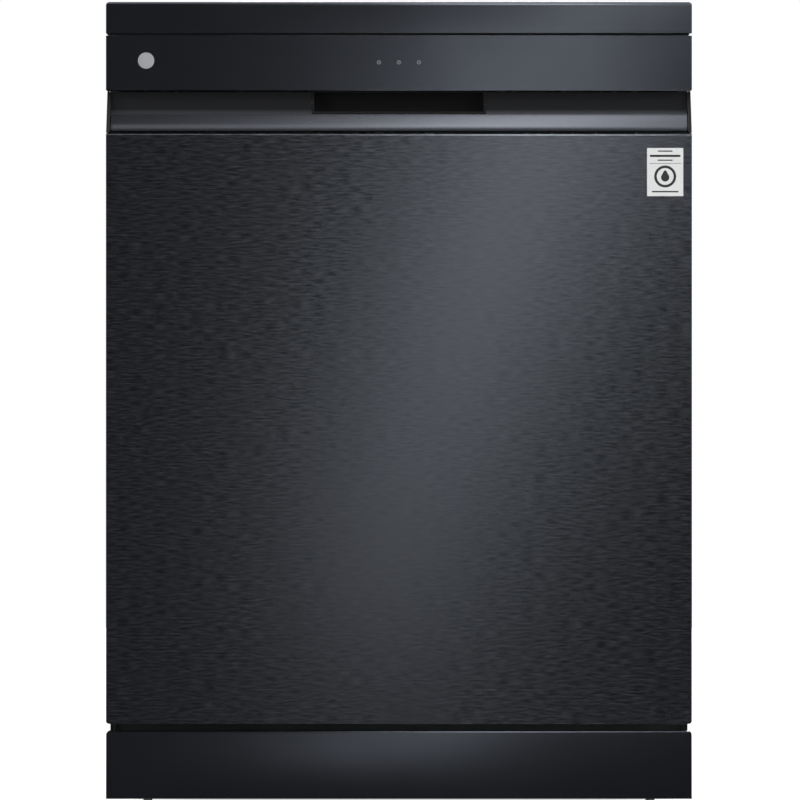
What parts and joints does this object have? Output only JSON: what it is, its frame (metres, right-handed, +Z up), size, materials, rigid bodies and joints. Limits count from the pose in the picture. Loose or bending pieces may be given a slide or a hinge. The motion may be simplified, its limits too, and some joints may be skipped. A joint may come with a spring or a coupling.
{
  "type": "dishwasher",
  "caption": "Front-loading dishwasher with a drop-down door, hand pocket, own lid and kick plate, tub, racks, spray arms and levelling feet.",
  "frame": {"origin": "on the floor under the middle of the machine's box", "axes": "+Z up; the door faces -Y; +X is to the right of somebody facing the door"},
  "size_m": [0.5988, 0.6, 0.85],
  "materials": {
    "black_steel": "black stainless with a fine horizontal grain",
    "satin_black": "smooth satin black",
    "stainless": "bright satin stainless",
    "galvanised": "galvanised sheet",
    "side_paint": "dark satin paint",
    "dark_plastic": "fine moulded grain",
    "grey_plastic": "fine moulded grain",
    "base_plastic": "moulded base, matt",
    "rack_wire": "nylon-coated wire",
    "rubber_seal": "matt black",
    "bitumen_pad": "heavy damping pad",
    "board_green": "circuit board",
    "clear_lens": "translucent light guide"
  },
  "bodies": {
    "root": {"base_tray": "base_plastic", "kick_plate": "satin_black", "rear_panel": "galvanised", "worktop_lid": "satin_black", "tub_wrapper": "stainless", "tub_back": "stainless", "tub_floor": "stainless", "tub_gasket": "rubber_seal", "door_bottom_seal": "rubber_seal", "sump": "dark_plastic", "filter_mesh_plate": "stainless", "circulation_pump": "grey_plastic", "drain_pump": "grey_plastic", "inlet_valve": "grey_plastic", "water_tank": "grey_plastic", "spray_feed_pipe": "grey_plastic", "latch_strike": "galvanised", "lower_rack": "rack_wire", "left_side_panel": "side_paint", "right_side_panel": "side_paint", "hinge_bracket_left": "galvanised", "hinge_bracket_right": "galvanised", "upper_rail_left": "stainless", "upper_rail_right": "stainless", "tray_rail_left": "stainless", "tray_rail_right": "stainless"},
    "door": {"door_outer_panel": "black_steel", "pocket_trim": "satin_black", "handle_housing": "dark_plastic", "control_fascia": "satin_black", "indicator_lenses": "clear_lens", "control_housing": "dark_plastic", "control_board": "board_green", "door_insulation": "bitumen_pad", "door_inner_liner": "stainless", "detergent_dispenser": "grey_plastic", "hinge_arm_left": "galvanised", "hinge_arm_right": "galvanised"},
    "detergent_lid": {"detergent_lid": "grey_plastic"},
    "rinse_aid_cap": {"rinse_aid_cap": "dark_plastic"},
    "latch_hook": {"latch_hook": "galvanised"},
    "power_button": {"power_button": "dark_plastic"},
    "programme_button": {"programme_button": "dark_plastic"},
    "start_button": {"start_button": "dark_plastic"},
    "filter_cylinder": {"filter_cylinder": "grey_plastic"},
    "lower_spray_arm": {"lower_spray_arm": "grey_plastic"},
    "upper_spray_arm": {"upper_spray_arm": "grey_plastic"},
    "ceiling_spray_arm": {"ceiling_spray_arm": "grey_plastic"},
    "upper_rack": {"upper_rack": "rack_wire"},
    "cutlery_tray": {"cutlery_tray": "rack_wire"},
    "tine_row_left": {"tine_row_left": "rack_wire"},
    "tine_row_right": {"tine_row_right": "rack_wire"},
    "foot_front_left": {"foot_front_left": "dark_plastic"},
    "foot_front_right": {"foot_front_right": "dark_plastic"},
    "foot_rear_left": {"foot_rear_left": "dark_plastic"},
    "foot_rear_right": {"foot_rear_right": "dark_plastic"},
    "wheel_front_left": {"wheel_front_left": "grey_plastic"},
    "wheel_front_right": {"wheel_front_right": "grey_plastic"},
    "wheel_rear_left": {"wheel_rear_left": "grey_plastic"},
    "wheel_rear_right": {"wheel_rear_right": "grey_plastic"}
  },
  "joints": [
    {"name": "door_hinge", "type": "hinge", "parent": "root", "child": "door", "pos_m": [0, -0.282, 0.1245], "axis": [1, 0, 0], "range_deg": [0, 90], "stiffness_Nm_per_rad": 15},
    {"name": "upper_rack_slide", "type": "slide", "parent": "root", "child": "upper_rack", "axis": [0, -1, 0], "range_m": [0, 0.4501]},
    {"name": "cutlery_tray_slide", "type": "slide", "parent": "root", "child": "cutlery_tray", "axis": [0, -1, 0], "range_m": [0, 0.4501]},
    {"name": "lower_spray_arm_spin", "type": "hinge", "parent": "root", "child": "lower_spray_arm", "pos_m": [0, 0.02, 0.175], "axis": [0, 0, 1], "continuous": true},
    {"name": "upper_spray_arm_spin", "type": "hinge", "parent": "upper_rack", "child": "upper_spray_arm", "pos_m": [0, 0.02, 0.475], "axis": [0, 0, 1], "continuous": true},
    {"name": "ceiling_spray_arm_spin", "type": "hinge", "parent": "root", "child": "ceiling_spray_arm", "pos_m": [0, 0.02, 0.773], "axis": [0, 0, 1], "continuous": true},
    {"name": "detergent_lid_slide", "type": "slide", "parent": "door", "child": "detergent_lid", "axis": [1, 0, 0], "range_m": [0, 0.052]},
    {"name": "rinse_aid_cap_turn", "type": "hinge", "parent": "door", "child": "rinse_aid_cap", "pos_m": [0.115, -0.241, 0.44], "axis": [0, 1, 0], "range_deg": [0, 90]},
    {"name": "latch_hook_pivot", "type": "hinge", "parent": "door", "child": "latch_hook", "pos_m": [0, -0.262, 0.8134], "axis": [0, 0, 1], "range_deg": [0, 20], "stiffness_Nm_per_rad": 0.3},
    {"name": "power_button_press", "type": "slide", "parent": "door", "child": "power_button", "axis": [0, 0, -1], "range_m": [0, 0.0012], "stiffness_N_per_m": 500},
    {"name": "programme_button_press", "type": "slide", "parent": "door", "child": "programme_button", "axis": [0, 0, -1], "range_m": [0, 0.0012], "stiffness_N_per_m": 500},
    {"name": "start_button_press", "type": "slide", "parent": "door", "child": "start_button", "axis": [0, 0, -1], "range_m": [0, 0.0012], "stiffness_N_per_m": 500},
    {"name": "filter_turn", "type": "hinge", "parent": "root", "child": "filter_cylinder", "pos_m": [0, -0.095, 0.12], "axis": [0, 0, 1], "range_deg": [0, 90]},
    {"name": "tine_row_left_fold", "type": "hinge", "parent": "root", "child": "tine_row_left", "pos_m": [-0.11, 0, 0.206], "axis": [0, 1, 0], "range_deg": [0, 90]},
    {"name": "foot_front_left_screw", "type": "hinge", "parent": "root", "child": "foot_front_left", "pos_m": [-0.262, -0.228, 0.01], "axis": [0, 0, 1], "continuous": true},
    {"name": "foot_rear_left_screw", "type": "hinge", "parent": "root", "child": "foot_rear_left", "pos_m": [-0.262, 0.258, 0.01], "axis": [0, 0, 1], "continuous": true},
    {"name": "wheel_front_left_roll", "type": "hinge", "parent": "root", "child": "wheel_front_left", "pos_m": [-0.268, -0.15, 0.1773], "axis": [1, 0, 0], "continuous": true},
    {"name": "wheel_rear_left_roll", "type": "hinge", "parent": "root", "child": "wheel_rear_left", "pos_m": [-0.268, 0.15, 0.1773], "axis": [1, 0, 0], "continuous": true},
    {"name": "tine_row_right_fold", "type": "hinge", "parent": "root", "child": "tine_row_right", "pos_m": [0.11, 0, 0.206], "axis": [0, -1, 0], "range_deg": [0, 90]},
    {"name": "foot_front_right_screw", "type": "hinge", "parent": "root", "child": "foot_front_right", "pos_m": [0.262, -0.228, 0.01], "axis": [0, 0, 1], "continuous": true},
    {"name": "foot_rear_right_screw", "type": "hinge", "parent": "root", "child": "foot_rear_right", "pos_m": [0.262, 0.258, 0.01], "axis": [0, 0, 1], "continuous": true},
    {"name": "wheel_front_right_roll", "type": "hinge", "parent": "root", "child": "wheel_front_right", "pos_m": [0.268, -0.15, 0.1773], "axis": [1, 0, 0], "continuous": true},
    {"name": "wheel_rear_right_roll", "type": "hinge", "parent": "root", "child": "wheel_rear_right", "pos_m": [0.268, 0.15, 0.1773], "axis": [1, 0, 0], "continuous": true}
  ],
  "couplings": [
    {"joint": "upper_rack_slide", "follows": "door_hinge", "m_per_rad": 0.28648},
    {"joint": "cutlery_tray_slide", "follows": "door_hinge", "m_per_rad": 0.28648}
  ]
}
